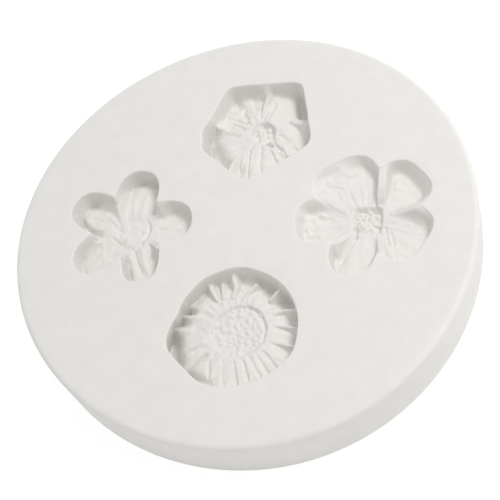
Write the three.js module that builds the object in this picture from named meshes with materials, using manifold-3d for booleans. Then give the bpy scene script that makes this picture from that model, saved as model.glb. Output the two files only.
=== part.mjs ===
// Fondant mould: one round pour of silicone with four flower pockets in its top face.
// Millimetres, +Z up out of the pockets, origin at the middle of the base.
// +Y points at the bell flower and +X at the wild rose.

import * as THREE from 'three';
import { mergeVertices } from 'three/addons/utils/BufferGeometryUtils.js';
import Module from 'manifold-3d';

// Disc
const discDiameter = 80;
const discThickness = 10;
const sideDraft = 0.15; // the foot of the side stands this far outside its head
const topEdgeRadius = 1;
const baseEdgeRadius = 0.4;
const ovalHeight = 0.2; // a poured disc is a little out of round, with two long sides
const ovalAngle = -13;
const trilobeHeight = 0.3; // and with three slight corners
const trilobeAngle = 58;

// What the four pockets share
const rimLip = 0.3; // the wall drops straight by this much before it leans in
const notchBlend = 0.22; // softness of the notch where two petals meet
const edgeSpread = 24; // degrees over which the edge changes from one listed angle to the next
const rollWidth = 0.8; // the petals' rolled edge dies away over about this distance from the wall
const crestBlend = 0.35; // softness where a fold leaves the floor
const recessWall = 0.7; // width of the sloping wall round a flower's middle

// The edge of a pocket is listed at a few angles: the depth near the wall, the extra depth that its rolled
// edge has at the foot of the wall, the run of the wall and how tight the corner at its foot is.
// A fold's crest is a bent line of points: x, y and the depth of the crest, from the rim inwards.
// Its slopes are its fall to the left and to the right of that line, per millimetre.

// Bell flower: five nearly straight sides, folded petals and a deep throat
const bellRingRadius = 20.3; // from the middle of the disc
const bellRingAngle = 86;
const bellApothem = 9.2;
const bellSides = [
  { angle: 90, extra: -0.35 },
  { angle: 11, extra: -0.2 },
  { angle: -55, extra: 0.3 },
  { angle: -131, extra: 0.4 },
  { angle: 160, extra: -0.15 },
];
const bellCornerBlend = 0.7;
const bellEdge = [
  { angle: 36, depth: 5, roll: 0.3, wall: 0.3, foot: 8 },
  { angle: 80, depth: 3.5, roll: 0.2, wall: 0.6, foot: 2.2 },
  { angle: 124, depth: 3.5, roll: 0.2, wall: 0.6, foot: 2.2 },
  { angle: 203, depth: 3.2, roll: 1.8, wall: 0.3, foot: 4 },
  { angle: -88, depth: 3, roll: 1.6, wall: 0.3, foot: 4 },
  { angle: -14, depth: 3.1, roll: 0.8, wall: 0.3, foot: 6 },
];
const bellCollarDepth = 2.8;
const bellThroatRadius = 2.6;
const bellThroatDepth = 5;
const bellFolds = [
  {
    crest: [[0.75, 9.3, 0.5], [0.9, 7.7, 2.3], [0.1, 3.8, 2.8]],
    halfWidth: 0.2,
    leftSlope: 2.5,
    rightSlope: 1.2,
  },
  {
    crest: [[8.9, 0.9, 1.4], [7.7, 1.5, 2.4], [5.9, 2.4, 3]],
    halfWidth: 0.45,
    leftSlope: 3.5,
    rightSlope: 2.5,
  },
  {
    crest: [[-9.9, 2.8, 1.4], [-8.8, 2.3, 2.2], [-7.6, 1.6, 2.8]],
    halfWidth: 0.2,
    leftSlope: 0.8,
    rightSlope: 3,
  },
  {
    crest: [[-4.9, -8, 0.5], [-4.6, -6.4, 2.2], [-3.9, -5, 2.7]],
    halfWidth: 0.2,
    leftSlope: 2,
    rightSlope: 2,
  },
  {
    crest: [[6.2, -6.4, 1.4], [5.6, -5.2, 2.75], [4.4, -2.9, 2.85]],
    halfWidth: 0.2,
    leftSlope: 2,
    rightSlope: 1,
  },
];
// A narrow crevice beside one fold: x, y and the depth of it below the petal
const bellCrevice = [[-9.2, -0.6, 1.2], [-8.6, -2.2, 1.6], [-7.7, -3.9, 1.8], [-6.3, -6, 1.6]];
const bellCreviceWidth = 0.6;

// Plum blossom: five round petals, thin folds between them and a shallow round middle
const plumRingRadius = 20.3;
const plumRingAngle = 180;
const plumPetalReach = 11.4;
const plumPetalLength = 11;
const plumPetalWidth = 8.1;
const plumOutline = [
  { angle: 82, longer: 0.2, wider: -0.1, bluntness: 2.4, aside: 0 },
  { angle: 7, longer: 0.4, wider: 0.2, bluntness: 2.4, aside: 0 },
  { angle: -85, longer: -0.5, wider: -1.5, bluntness: 3, aside: 2.9 },
  { angle: -135, longer: -0.3, wider: -0.5, bluntness: 2.4, aside: 0 },
  { angle: 154, longer: 0.3, wider: -0.4, bluntness: 2.4, aside: -0.35 },
];
const plumHubRadius = 5.5;
const plumEdge = [
  { angle: 82, depth: 3.4, roll: 1.1, wall: 0.3, foot: 5 },
  { angle: 20, depth: 3.2, roll: 0.3, wall: 0.5, foot: 4 },
  { angle: -5, depth: 2.8, roll: 0.2, wall: 0.6, foot: 3 },
  { angle: -66, depth: 3, roll: 1.4, wall: 0.3, foot: 6 },
  { angle: -135, depth: 3.7, roll: 0.6, wall: 1.1, foot: 6 },
  { angle: 154, depth: 3.6, roll: 0.4, wall: 1.1, foot: 6 },
];
const plumTipRadius = 9.5;
const plumInnerDepth = 2.9;
const plumDishRadius = 3.7;
const plumDishDepth = 4;
const plumFolds = [
  {
    crest: [[-3.8, 7.8, 0.3], [-2.95, 6.1, 1.6], [-1.9, 2.95, 2.8], [-0.6, -0.1, 3.7]],
    halfWidth: 0.4,
    leftSlope: 1,
    rightSlope: 2,
  },
  {
    crest: [[5.9, 5.2, 0.3], [5.1, 4.3, 1.2], [3.8, 3.2, 3]],
    halfWidth: 0.3,
    leftSlope: 2,
    rightSlope: 1.5,
  },
  {
    crest: [[6.3, -3.8, 0.3], [5.4, -2.7, 1.6], [3.9, -1.4, 2.9]],
    halfWidth: 0.5,
    leftSlope: 3,
    rightSlope: 3,
  },
  {
    crest: [[-1.7, -6.8, 0.3], [-1.6, -5.4, 1.8], [-1.5, -4, 2.7]],
    halfWidth: 0.4,
    leftSlope: 3,
    rightSlope: 3,
  },
  {
    crest: [[-8.3, -1.4, 0.5], [-7, -1.2, 1.9], [-5.6, -1, 2.8]],
    halfWidth: 0.3,
    leftSlope: 4,
    rightSlope: 4,
  },
];

// Wild rose: five broad petals, high thin folds and a squarish middle
const roseRingRadius = 21.3;
const roseRingAngle = 2.4;
const rosePetalReach = 11.5;
const rosePetalLength = 11;
const rosePetalWidth = 9.6;
const roseOutline = [
  { angle: 117, longer: 0.1, wider: 2, bluntness: 3, aside: 0 },
  { angle: 41, longer: 0.6, wider: 0.4, bluntness: 3, aside: 0 },
  { angle: -30, longer: -0.1, wider: 1.2, bluntness: 3.2, aside: 0 },
  { angle: -99, longer: 0.2, wider: -1.8, bluntness: 2.4, aside: -0.6 },
  { angle: 187, longer: 0.1, wider: -1, bluntness: 3, aside: 0 },
];
const roseHubRadius = 6;
const roseEdge = [
  { angle: 100, depth: 2.8, roll: 0.3, wall: 0.5, foot: 8 },
  { angle: 140, depth: 2.6, roll: 0.2, wall: 1, foot: 6 },
  { angle: 41, depth: 2.9, roll: 0, wall: 2, foot: 10 },
  { angle: -30, depth: 2.7, roll: 0.3, wall: 0.8, foot: 8 },
  { angle: -99, depth: 2.8, roll: 0.5, wall: 0.8, foot: 8 },
  { angle: 187, depth: 2.7, roll: 0.6, wall: 0.8, foot: 8 },
];
const roseTipRadius = 10;
const roseInnerDepth = 2.8;
const roseMiddleRadius = 2.8;
const roseMiddleBluntness = 4;
const roseMiddleDepth = 4;
const roseFolds = [
  {
    crest: [[2.8, 9.8, 0.2], [2.5, 5.5, 0.8], [2.3, 3, 2.4]],
    halfWidth: 0.55,
    leftSlope: 3,
    rightSlope: 4,
  },
  {
    crest: [[-7.6, 4.3, 0.6], [-5.1, 2.8, 2.1], [-3.7, 2.2, 2.4]],
    halfWidth: 0.3,
    leftSlope: 1,
    rightSlope: 0.8,
  },
  {
    crest: [[9.3, 1.1, 0.3], [6, 1.4, 2], [4.6, 1.35, 2.6]],
    halfWidth: 0.4,
    leftSlope: 0.9,
    rightSlope: 0.9,
  },
  {
    crest: [[3.1, -7.5, 0.4], [2.7, -5.5, 1.8], [2.3, -3.4, 2.4]],
    halfWidth: 0.5,
    leftSlope: 2,
    rightSlope: 2,
  },
  {
    crest: [[-5.4, -5, 0.4], [-4.2, -3.8, 2], [-3, -2.4, 2.5]],
    halfWidth: 0.5,
    leftSlope: 2,
    rightSlope: 2,
  },
];

// Daisy: a ring of narrow petals round a wide seed disc
const daisyRingRadius = 19.3;
const daisyRingAngle = -86.7;
const daisyRadius = 10.35;
const daisyBulges = [
  { angle: 93, height: 0.4, spread: 18 },
  { angle: 125, height: 0.3, spread: 12 },
  { angle: 167, height: -0.3, spread: 7 },
  { angle: 195, height: 1.15, spread: 17 },
  { angle: 245, height: 0.3, spread: 15 },
  { angle: 334, height: 0.4, spread: 15 },
];
const daisyEdge = [
  { angle: 0, depth: 3.7, roll: 0.6, wall: 0.3, foot: 6 },
  { angle: 45, depth: 4, roll: 0.6, wall: 0.3, foot: 6 },
  { angle: 90, depth: 3.6, roll: 0.8, wall: 0.6, foot: 3 },
  { angle: 135, depth: 3.5, roll: 1.8, wall: 0.4, foot: 4 },
  { angle: 180, depth: 3.6, roll: 3, wall: 0.3, foot: 6 },
  { angle: 225, depth: 3.2, roll: 2.4, wall: 0.3, foot: 6 },
  { angle: 270, depth: 3, roll: 0.8, wall: 0.3, foot: 4 },
  { angle: 315, depth: 3.3, roll: 0.8, wall: 0.3, foot: 6 },
];
const daisyInnerDepth = 2.7;
const daisyDiscRadius = 4.8;
const daisyDiscDepth = 3.3;
const daisyRidgeCrests = [
  [[-5.7, 9, 1.4], [-5.2, 7.9, 2.2], [-4.1, 6.1, 2.6]],
  [[-1.5, 9.7, 0.9], [-1, 8.2, 2.1], [-1.5, 6.6, 2.6]],
  [[2.3, 8.6, 1.8], [1.2, 7.4, 2.4], [0.3, 6, 2.7]],
  [[-9.9, 5.4, 1.6], [-8, 4.6, 2.3], [-6.8, 4.3, 2.6]],
  [[-10.9, 0.6, 2.2], [-7.3, 0.75, 2.6]],
  [[-9, -3.7, 2.2], [-8.2, -2.6, 2.5]],
  [[6.9, 7.7, 1.2], [6, 7, 2], [4.9, 5.9, 2.7]],
  [[9.3, 3.7, 1.2], [7.4, 3.9, 2.5], [5.8, 3.5, 2.9]],
  [[10.2, 0.4, 1.4], [8.5, 0.9, 2.5], [6, 1.4, 2.9]],
  [[10.1, -2.7, 1.4], [8.5, -2.3, 2.5], [5.2, -1.3, 2.9]],
];
const daisyRidgeHalfWidth = 0.25;
const daisyRidgeSlope = 3.5;

// Fineness of the faceted surfaces
const discSides = 96;
const edgeSteps = 3;
const pocketRays = 96;
const petalRings = [0.95, 0.9, 0.84, 0.76, 0.66, 0.54, 0.42, 0.28, 0.14, 0]; // shares of the way to the rim
const cutterHeadroom = 1;
const farOut = 20; // no pocket reaches this far from its own middle

const silicone = new THREE.MeshStandardMaterial({ color: '#e6e4df', roughness: 0.6, metalness: 0 });

const { degToRad, radToDeg, clamp, lerp, smoothstep } = THREE.MathUtils;

// Height of a soft ridge, 1 on its crest line
const ridge = (offset, width) => Math.exp(-((offset / width) ** 2));

// Smallest turn from one angle to another, in degrees
const turn = (from, to) => ((((to - from + 180) % 360) + 360) % 360) - 180;

// Largest of several values, rounded where two of them meet
function blendedMax(values, blend) {
  const top = Math.max(...values);
  const sum = values.reduce((total, value) => total + Math.exp((value - top) / blend), 0);
  return top + blend * Math.log(sum);
}

// Distance along and across a line that leaves the flower's middle at an angle
function alongAcross(x, y, angle) {
  const direction = degToRad(angle);
  return {
    along: x * Math.cos(direction) + y * Math.sin(direction),
    across: y * Math.cos(direction) - x * Math.sin(direction),
  };
}

// How far a point lies inside the edge of one petal, whose outline is a blunt ellipse
function petalInset(x, y, petal) {
  const { along, across } = alongAcross(x, y, petal.angle);
  const halfLength = petal.length / 2;
  const halfWidth = petal.width / 2;
  const power = petal.bluntness;
  const u = Math.abs(along - petal.reach + halfLength) / halfLength;
  const v = Math.abs(across - petal.aside) / halfWidth;
  const size = Math.max((u ** power + v ** power) ** (1 / power), 1e-6);
  const slopeAlong = (u / size) ** (power - 1) / halfLength;
  const slopeAcross = (v / size) ** (power - 1) / halfWidth;
  return (1 - size) / Math.hypot(slopeAlong, slopeAcross);
}

// The petals of one blossom, each a little longer or wider than the usual one
function petalShapes(outline, reach, length, width) {
  return outline.map(({ angle, longer, wider, bluntness, aside }) => ({
    angle,
    reach: reach + longer,
    length,
    width: width + wider,
    bluntness,
    aside,
  }));
}

// How far a point lies inside the joined outline of all petals and the round hub
function blossomInset(x, y, petals, hubRadius) {
  const insets = petals.map((petal) => petalInset(x, y, petal));
  return blendedMax([...insets, hubRadius - Math.hypot(x, y)], notchBlend);
}

// A size of a pocket's edge, which passes softly from one listed angle to the next
function byAngle(x, y, edge, size) {
  const angle = radToDeg(Math.atan2(y, x));
  const weights = edge.map((place) => ridge(turn(place.angle, angle), edgeSpread));
  const total = weights.reduce((sum, weight) => sum + weight, 0);
  return edge.reduce((sum, place, index) => sum + weights[index] * place[size], 0) / total;
}

// Depth of the petals, with a rolled edge that is deepest at the foot of the wall
function floorDepth(x, y, inside, innerDepth, outward, edge) {
  const roll = byAngle(x, y, edge, 'roll') * Math.exp(-Math.max(inside, 0) / rollWidth);
  return lerp(innerDepth, byAngle(x, y, edge, 'depth'), outward) + roll;
}

// Distance from a bent line, the side of it, and its third value at the nearest point
function nearLine(x, y, points) {
  let nearest = { gap: Infinity, side: 0, level: 0 };
  for (let index = 1; index < points.length; index += 1) {
    const [x0, y0, level0] = points[index - 1];
    const [x1, y1, level1] = points[index];
    const dx = x1 - x0;
    const dy = y1 - y0;
    const share = clamp(((x - x0) * dx + (y - y0) * dy) / (dx * dx + dy * dy), 0, 1);
    const gapX = x - x0 - share * dx;
    const gapY = y - y0 - share * dy;
    const gap = Math.hypot(gapX, gapY);
    if (gap < nearest.gap) {
      nearest = { gap, side: dx * gapY - dy * gapX, level: lerp(level0, level1, share) };
    }
  }
  return nearest;
}

// Smaller of two depths, rounded where they meet
function softMin(a, b, blend) {
  const share = clamp(0.5 + (0.5 * (b - a)) / blend, 0, 1);
  return lerp(b, a, share) - blend * share * (1 - share);
}

// Raises the floor to a fold that stands along a bent crest line
function withFold(depth, x, y, { crest, halfWidth, leftSlope, rightSlope }) {
  const { gap, side, level } = nearLine(x, y, crest);
  const slope = side > 0 ? leftSlope : rightSlope;
  return softMin(depth, level + slope * Math.max(gap - halfWidth, 0), crestBlend);
}

const withFolds = (depth, x, y, folds) => folds.reduce((floor, fold) => withFold(floor, x, y, fold), depth);

// Swaps the petal floor for the deeper middle inside a radius
function withMiddle(floor, middle, r, radius) {
  return lerp(middle, floor, smoothstep(r, radius - recessWall, radius));
}

// Bell flower
function bellInset(x, y) {
  const gaps = bellSides.map(({ angle, extra }) => alongAcross(x, y, angle).along - bellApothem - extra);
  return -blendedMax(gaps, bellCornerBlend);
}

function bellFloor(x, y, inside) {
  const r = Math.hypot(x, y);
  const outward = smoothstep(r, bellThroatRadius, bellApothem);
  const petals = floorDepth(x, y, inside, bellCollarDepth, outward, bellEdge);
  const { gap, level } = nearLine(x, y, bellCrevice);
  const folded = withFolds(petals + level * ridge(gap, bellCreviceWidth), x, y, bellFolds);
  return withMiddle(folded, bellThroatDepth, r, bellThroatRadius);
}

// Plum blossom
const plumShapes = petalShapes(plumOutline, plumPetalReach, plumPetalLength, plumPetalWidth);

function plumFloor(x, y, inside) {
  const r = Math.hypot(x, y);
  const outward = smoothstep(r, plumDishRadius, plumTipRadius);
  const petals = floorDepth(x, y, inside, plumInnerDepth, outward, plumEdge);
  return withFolds(withMiddle(petals, plumDishDepth, r, plumDishRadius), x, y, plumFolds);
}

// Wild rose
const roseShapes = petalShapes(roseOutline, rosePetalReach, rosePetalLength, rosePetalWidth);

function roseFloor(x, y, inside) {
  const outward = smoothstep(Math.hypot(x, y), roseMiddleRadius, roseTipRadius);
  const petals = floorDepth(x, y, inside, roseInnerDepth, outward, roseEdge);
  const bluntness = roseMiddleBluntness;
  const bluntR = (Math.abs(x) ** bluntness + Math.abs(y) ** bluntness) ** (1 / bluntness);
  return withMiddle(withFolds(petals, x, y, roseFolds), roseMiddleDepth, bluntR, roseMiddleRadius);
}

// Daisy
function daisyInset(x, y) {
  const angle = radToDeg(Math.atan2(y, x));
  const bulge = daisyBulges.reduce(
    (total, { angle: place, height, spread }) => total + height * ridge(turn(place, angle), spread),
    0,
  );
  return daisyRadius + bulge - Math.hypot(x, y);
}

const daisyFolds = daisyRidgeCrests.map((crest) => ({
  crest,
  halfWidth: daisyRidgeHalfWidth,
  leftSlope: daisyRidgeSlope,
  rightSlope: daisyRidgeSlope,
}));

function daisyFloor(x, y, inside) {
  const r = Math.hypot(x, y);
  const outward = smoothstep(r, daisyDiscRadius, daisyRadius);
  const petals = floorDepth(x, y, inside, daisyInnerDepth, outward, daisyEdge);
  return withMiddle(withFolds(petals, x, y, daisyFolds), daisyDiscDepth, r, daisyDiscRadius);
}

const flowers = [
  {
    ringRadius: bellRingRadius,
    ringAngle: bellRingAngle,
    inset: bellInset,
    floor: bellFloor,
    edge: bellEdge,
    middleRadius: bellThroatRadius,
  },
  {
    ringRadius: plumRingRadius,
    ringAngle: plumRingAngle,
    inset: (x, y) => blossomInset(x, y, plumShapes, plumHubRadius),
    floor: plumFloor,
    edge: plumEdge,
    middleRadius: plumDishRadius,
  },
  {
    ringRadius: roseRingRadius,
    ringAngle: roseRingAngle,
    inset: (x, y) => blossomInset(x, y, roseShapes, roseHubRadius),
    floor: roseFloor,
    edge: roseEdge,
    middleRadius: roseMiddleRadius,
  },
  {
    ringRadius: daisyRingRadius,
    ringAngle: daisyRingAngle,
    inset: daisyInset,
    floor: daisyFloor,
    edge: daisyEdge,
    middleRadius: daisyDiscRadius,
  },
];

// Depth of a pocket: its wall drops at the lip and leans in to meet the floor
function pocketDepth(flower, x, y) {
  const inside = flower.inset(x, y);
  const share = Math.max(inside / byAngle(x, y, flower.edge, 'wall'), 0);
  const tightness = byAngle(x, y, flower.edge, 'foot');
  const curve = share / (1 + share ** tightness) ** (1 / tightness);
  return rimLip + Math.max(flower.floor(x, y, inside) - rimLip, 0) * curve;
}

// Distance from the flower's middle to its rim at an angle, by halving the gap
function rimRadius(flower, angle) {
  let inside = 0;
  let outside = farOut;
  while (outside - inside > 1e-4) {
    const middle = (inside + outside) / 2;
    const isInside = flower.inset(middle * Math.cos(angle), middle * Math.sin(angle)) > 0;
    inside = isInside ? middle : inside;
    outside = isInside ? outside : middle;
  }
  return inside;
}

// Closed solid that fills one pocket and stands a little proud of the top face
function pocketCutter(flower) {
  const points = [];
  const angles = Array.from({ length: pocketRays }, (_, ray) => (2 * Math.PI * ray) / pocketRays);
  const rims = angles.map((angle) => rimRadius(flower, angle));
  const addRing = (radiusAt, heightAt) => {
    angles.forEach((angle, ray) => {
      const x = radiusAt(rims[ray]) * Math.cos(angle);
      const y = radiusAt(rims[ray]) * Math.sin(angle);
      points.push(x, y, heightAt(x, y));
    });
  };
  const floorHeight = (x, y) => -pocketDepth(flower, x, y);
  const innerRadius = flower.middleRadius - recessWall;
  addRing((rim) => rim, () => cutterHeadroom);
  addRing((rim) => rim, () => -rimLip);
  petalRings.forEach((share) => addRing((rim) => lerp(flower.middleRadius, rim, share), floorHeight));
  addRing(() => innerRadius, floorHeight);
  addRing(() => innerRadius / 2, floorHeight);
  const lidPoint = points.length / 3;
  points.push(0, 0, cutterHeadroom);
  points.push(0, 0, -pocketDepth(flower, 0, 0));

  const faces = [];
  const ringCount = lidPoint / pocketRays;
  for (let ray = 0; ray < pocketRays; ray += 1) {
    const next = (ray + 1) % pocketRays;
    const lastRing = (ringCount - 1) * pocketRays;
    faces.push(lidPoint, ray, next);
    faces.push(lidPoint + 1, lastRing + next, lastRing + ray);
    for (let ring = 0; ring < ringCount - 1; ring += 1) {
      const upper = ring * pocketRays;
      const lower = upper + pocketRays;
      faces.push(upper + ray, lower + ray, lower + next);
      faces.push(upper + ray, lower + next, upper + next);
    }
  }
  const geometry = new THREE.BufferGeometry();
  geometry.setAttribute('position', new THREE.Float32BufferAttribute(points, 3));
  geometry.setIndex(faces);
  const place = degToRad(flower.ringAngle);
  geometry.translate(flower.ringRadius * Math.cos(place), flower.ringRadius * Math.sin(place), discThickness);
  return geometry;
}

// Half section of the disc from the middle of the base to the middle of the top
function discProfile() {
  const headRadius = discDiameter / 2;
  const footRadius = headRadius + sideDraft;
  const profile = [new THREE.Vector2(0, 0)];
  for (let step = 0; step <= edgeSteps; step += 1) {
    const angle = (step / edgeSteps - 1) * (Math.PI / 2);
    const reach = footRadius - baseEdgeRadius + baseEdgeRadius * Math.cos(angle);
    profile.push(new THREE.Vector2(reach, baseEdgeRadius * (1 + Math.sin(angle))));
  }
  for (let step = 0; step <= edgeSteps; step += 1) {
    const angle = (step / edgeSteps) * (Math.PI / 2);
    const reach = headRadius - topEdgeRadius + topEdgeRadius * Math.cos(angle);
    profile.push(new THREE.Vector2(reach, discThickness - topEdgeRadius * (1 - Math.sin(angle))));
  }
  profile.push(new THREE.Vector2(0, discThickness));
  return profile;
}

// Round disc with its slight oval and three slight corners
function discBlank() {
  const geometry = new THREE.LatheGeometry(discProfile(), discSides);
  geometry.rotateX(Math.PI / 2);
  const position = geometry.attributes.position;
  for (let index = 0; index < position.count; index += 1) {
    const x = position.getX(index);
    const y = position.getY(index);
    const angle = Math.atan2(y, x);
    const oval = ovalHeight * Math.cos(2 * (angle - degToRad(ovalAngle)));
    const trilobe = trilobeHeight * Math.cos(3 * (angle - degToRad(trilobeAngle)));
    const stretch = 1 + (oval + trilobe) / (discDiameter / 2);
    position.setXY(index, x * stretch, y * stretch);
  }
  return geometry;
}

const wasm = await Module();
wasm.setup();

function toSolid(geometry) {
  const bare = geometry.clone();
  bare.deleteAttribute('normal');
  bare.deleteAttribute('uv');
  const merged = mergeVertices(bare, 1e-3);
  return new wasm.Manifold(
    new wasm.Mesh({
      numProp: 3,
      vertProperties: new Float32Array(merged.attributes.position.array),
      triVerts: new Uint32Array(merged.index.array),
    }),
  );
}

function toGeometry(solid) {
  const mesh = solid.getMesh();
  const geometry = new THREE.BufferGeometry();
  geometry.setAttribute('position', new THREE.Float32BufferAttribute(mesh.vertProperties, 3));
  geometry.setIndex(new THREE.Uint32BufferAttribute(mesh.triVerts, 1));
  geometry.computeVertexNormals();
  return geometry;
}

const body = flowers.reduce(
  (solid, flower) => solid.subtract(toSolid(pocketCutter(flower))),
  toSolid(discBlank()),
);

const mouldBody = new THREE.Mesh(toGeometry(body), silicone);
mouldBody.name = 'mould_body';

const fondantMould = new THREE.Group();
fondantMould.add(mouldBody);

export default fondantMould;
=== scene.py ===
import math

import bpy
import numpy as np
from mathutils import Matrix, Vector
from mathutils.geometry import delaunay_2d_cdt


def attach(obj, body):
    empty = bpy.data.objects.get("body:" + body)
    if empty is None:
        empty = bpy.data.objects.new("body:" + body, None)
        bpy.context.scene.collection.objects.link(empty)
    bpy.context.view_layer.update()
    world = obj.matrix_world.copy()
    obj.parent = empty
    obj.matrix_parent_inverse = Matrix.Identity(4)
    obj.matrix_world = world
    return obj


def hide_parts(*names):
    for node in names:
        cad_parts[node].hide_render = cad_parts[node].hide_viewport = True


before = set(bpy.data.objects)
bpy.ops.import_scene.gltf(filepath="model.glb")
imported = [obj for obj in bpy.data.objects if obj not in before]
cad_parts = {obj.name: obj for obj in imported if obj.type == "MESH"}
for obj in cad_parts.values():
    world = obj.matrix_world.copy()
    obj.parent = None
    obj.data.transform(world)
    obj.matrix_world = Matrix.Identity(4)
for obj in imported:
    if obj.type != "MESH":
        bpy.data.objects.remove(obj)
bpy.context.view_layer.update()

# Fondant mould: a round pour of silicone with four flower pockets in its top face.
# Shapes are written in millimetres, in the frame of the part: +Z up, origin in the middle of the base.
MM = 0.001
GOLDEN_ANGLE = math.radians(137.5)

# Disc
DISC_RADIUS = 39.98
DISC_THICKNESS = 10
SIDE_DRAFT = 0.15  # the foot of the side stands this far outside its head
TOP_EDGE_RADIUS = 1
BASE_EDGE_RADIUS = 0.4
OVAL_HEIGHT = 0.2  # a poured disc is a little out of round
OVAL_ANGLE = -13
TRILOBE_HEIGHT = 0.3
TRILOBE_ANGLE = 58

# What the four pockets share
RIM_ROUND = 0.24  # radius of the soft edge round each pocket
NOTCH_BLEND = 0.22  # softness of the notch where two petals meet
EDGE_SPREAD = 24  # degrees over which the edge of a pocket changes from one written angle to the next
ROLL_WIDTH = 0.8  # the rolled edge of the petals dies away over about this distance from the wall
CREST_BLEND = 0.5  # softness where a wall between petals leaves the floor
UNDERCUT_FADE = 1.2  # the floor under an overhanging rim comes back to its place over this distance
UNDERCUT_CORE = 1  # radius round a flower's middle where an overhang has no effect
GRAIN_HEIGHT = 0.05
GRAIN_CELL = 0.7
SMALLEST_BEAD = 0.45  # the smallest bead of a cluster beside the largest
FOLD_LENGTH = 4  # the ruffles of a petal change over this distance outwards
FINE_FOLD_LENGTH = 3
FINE_FOLD_SHARE = 0.4
FOLD_START = 0.5  # they start this far inside the edge of a flower's middle
FOLD_FULL = 1.5  # and have their full height this far outside it

# Random waves are read off a lattice of random values, and never from beyond its last cell
NOISE_CELLS = 80
FOLD_RINGS = 20
LATTICE_EDGE = 1.1

# How the rows of numbers are written
# Edge of a pocket: angle, depth near the wall, extra depth at the foot of the wall, run of the wall,
# tightness of its foot.
# Petal: angle, extra length, extra width, bluntness, shift to the side.
# Bulge: angle, height outwards, spread in degrees.
# Pleat: points of a bent line with their height, which is below 0 in a groove, then the pleat's width
# to the left and to the right of the line.
# Partition: points of a bent line with the depth of its crest, then half the width of the crest and its
# fall per millimetre to the left and to the right of the line.
# Bead or lump: place, size, height.
# Cluster of beads: how many, spacing, scatter, size, height, random seed.

# Columns of an edge row
ANGLE = 0
TIP = 1
ROLL = 2
WALL = 3
FOOT = 4

# Fineness of the mesh
DISC_SIDES = 360
EDGE_STEPS = 10
SIDE_STEPS = 8
POCKET_RAYS = 540
FLOOR_RINGS = 84
WALL_RINGS = 30
WALL_SHARE = 0.88  # the outer part of each ray, where the wall is, gets closer rings
TOP_GRID = 1.4
TOP_GRID_MARGIN = 0.7
BORDER_BATCH = 60  # points of a border that are measured against the grid at a time
SMALLEST = 1e-6  # sizes and gaps below this count as none

# Camera
CAMERA_LENS = 77.76
CAMERA_SENSOR = 36
CAMERA_DISTANCE = 191
CAMERA_AZIMUTH = 27
CAMERA_ELEVATION = 57.8
CAMERA_ROLL = 25.16
CAMERA_AIM_LEFT = 0.41
CAMERA_AIM_UP = 0.21
CAMERA_NEAR = 10  # nothing closer than this is seen

# Table
TABLE_SIZE = 3000
TABLE_RISE = 0.02  # a hair above the base, so that the two faces don't share one plane
TABLE_PALE = (0.95, 0.95, 0.95, 1)  # the colour that it sends light back to the mould with
TABLE_FAINT = (0.15, 0.15, 0.15, 1)  # the part of its look that takes light and shadow
TABLE_GLOW = 0.9  # the part of its look that is plain white

# Light
KEY_AZIMUTH = 26
KEY_ELEVATION = 58
KEY_DISTANCE = 420
KEY_SIZE = 120
KEY_LEVEL = 0.34  # share of full white that the key light puts on a level face
SKY_EDGE = 0.26  # brightness of the sky at the horizon
SKY_RISE = 0.72  # how much brighter it is overhead
GLOW_LEVEL = 2.4  # extra brightness right at the horizon
GLOW_FALL = 8  # how fast it fades upwards

# Silicone
CLOUD_SCALE = 320
CLOUD_DETAIL = 4
CLOUD_LOW = 0.3
CLOUD_HIGH = 0.7
CLOUD_DARK = (0.766, 0.751, 0.721, 1)
CLOUD_LIGHT = (0.794, 0.779, 0.749, 1)
PORE_SCALE = 1500
PORE_DETAIL = 3
PORE_STRENGTH = 0.25
PORE_DEPTH = 0.1
SILICONE_ROUGHNESS = 0.62
SILICONE_SPECULAR = 0.3


# Small sums that the relief is made of

def lerp(start, end, share):
    return start + (end - start) * share


def smoothstep(value, low, high):
    share = np.clip((value - low) / (high - low), 0, 1)
    return share * share * (3 - 2 * share)


def soft_min(a, b, blend):
    """The smaller of two depths, rounded where they meet."""
    share = np.clip(0.5 + 0.5 * (b - a) / blend, 0, 1)
    return lerp(b, a, share) - blend * share * (1 - share)


def blended_max(values, blend):
    """The largest of several values, rounded where two of them meet."""
    stack = np.stack(values)
    top = stack.max(axis=0)
    return top + blend * np.log(np.exp((stack - top) / blend).sum(axis=0))


def between(lattice, i, following, j, s, t):
    """Value of a lattice between four of its points."""
    low = lerp(lattice[i, j], lattice[following, j], s)
    high = lerp(lattice[i, j + 1], lattice[following, j + 1], s)
    return lerp(low, high, t)


def soft_noise(x, y, cell, seed):
    """Smooth random waves between -1 and 1 with one wave per cell."""
    lattice = np.random.default_rng(seed).uniform(-1, 1, (NOISE_CELLS, NOISE_CELLS))
    u = np.clip(x / cell + NOISE_CELLS / 2, 0, NOISE_CELLS - LATTICE_EDGE)
    v = np.clip(y / cell + NOISE_CELLS / 2, 0, NOISE_CELLS - LATTICE_EDGE)
    i = np.floor(u).astype(int)
    j = np.floor(v).astype(int)
    s = smoothstep(u - i, 0, 1)
    t = smoothstep(v - j, 0, 1)
    return between(lattice, i, i + 1, j, s, t)


def along_across(x, y, angle):
    """Distance along and across a line that leaves the flower's middle at an angle."""
    c = math.cos(math.radians(angle))
    s = math.sin(math.radians(angle))
    return x * c + y * s, y * c - x * s


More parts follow.
